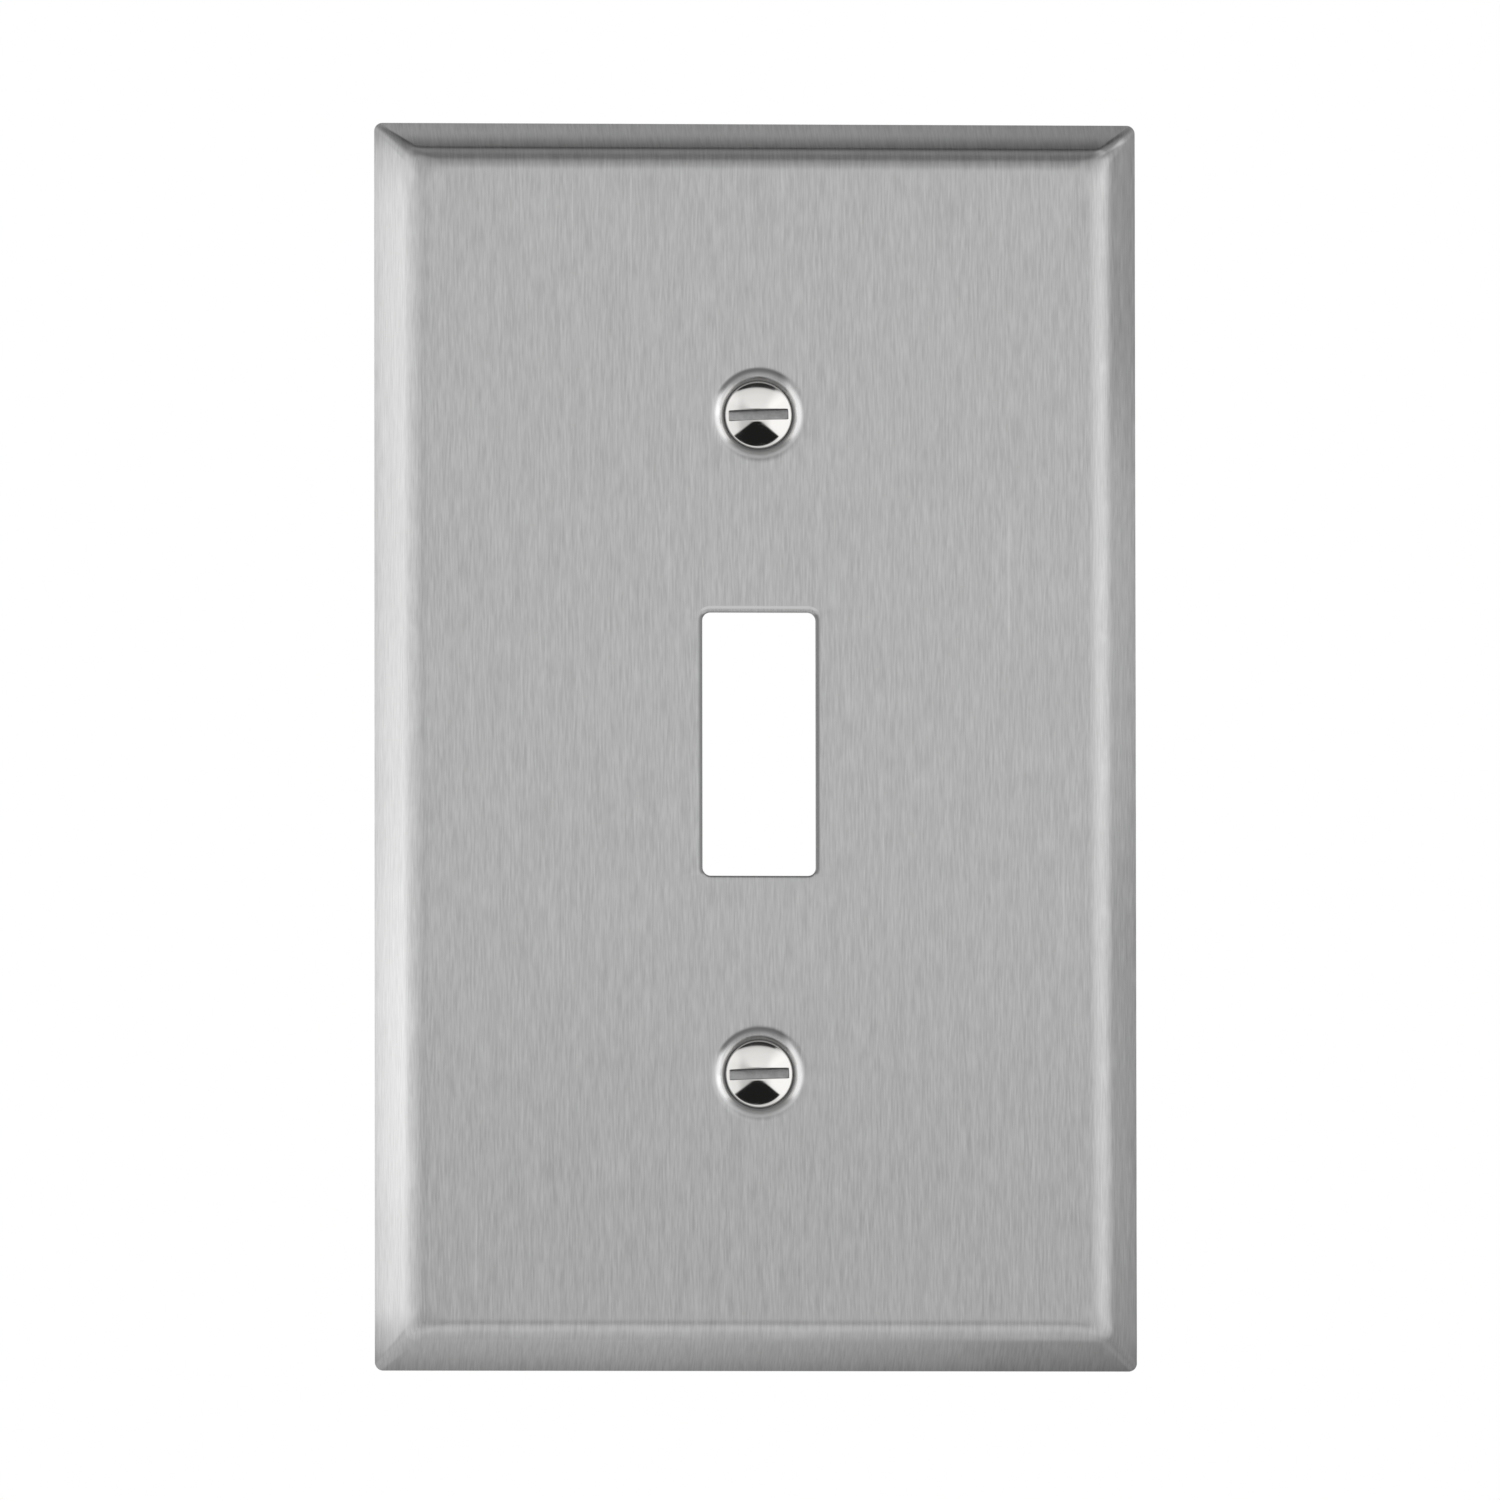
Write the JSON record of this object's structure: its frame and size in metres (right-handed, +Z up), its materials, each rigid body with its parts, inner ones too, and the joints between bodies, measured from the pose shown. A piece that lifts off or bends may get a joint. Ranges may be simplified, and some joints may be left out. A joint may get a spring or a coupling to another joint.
{
  "type": "wall plate cover",
  "caption": "Bevelled toggle switch wall plate pressed from brushed stainless sheet, with slotted oval-head screws seated in countersunk dishes above and below its opening.",
  "frame": {"origin": "Centre of the plate's rim, in the plane that rests on the wall", "axes": "+Z up along the plate's height, +Y into the wall, so the brushed face looks towards -Y; +X to the right of someone facing it"},
  "size_m": [0.0698, 0.0136, 0.1142],
  "materials": {
    "plate_steel": "fine vertical satin brush",
    "screw_nickel": "bright polished nickel plate"
  },
  "bodies": {
    "plate": {"cover_plate": "plate_steel"},
    "upper_screw": {"top_screw": "screw_nickel"},
    "lower_screw": {"bottom_screw": "screw_nickel"}
  },
  "joints": [
    {"name": "top_screw_slide", "type": "slide", "parent": "plate", "child": "upper_screw", "axis": [0, -1, 0], "range_m": [0, 0.0135]},
    {"name": "bottom_screw_slide", "type": "slide", "parent": "plate", "child": "lower_screw", "axis": [0, -1, 0], "range_m": [0, 0.0135]}
  ]
}
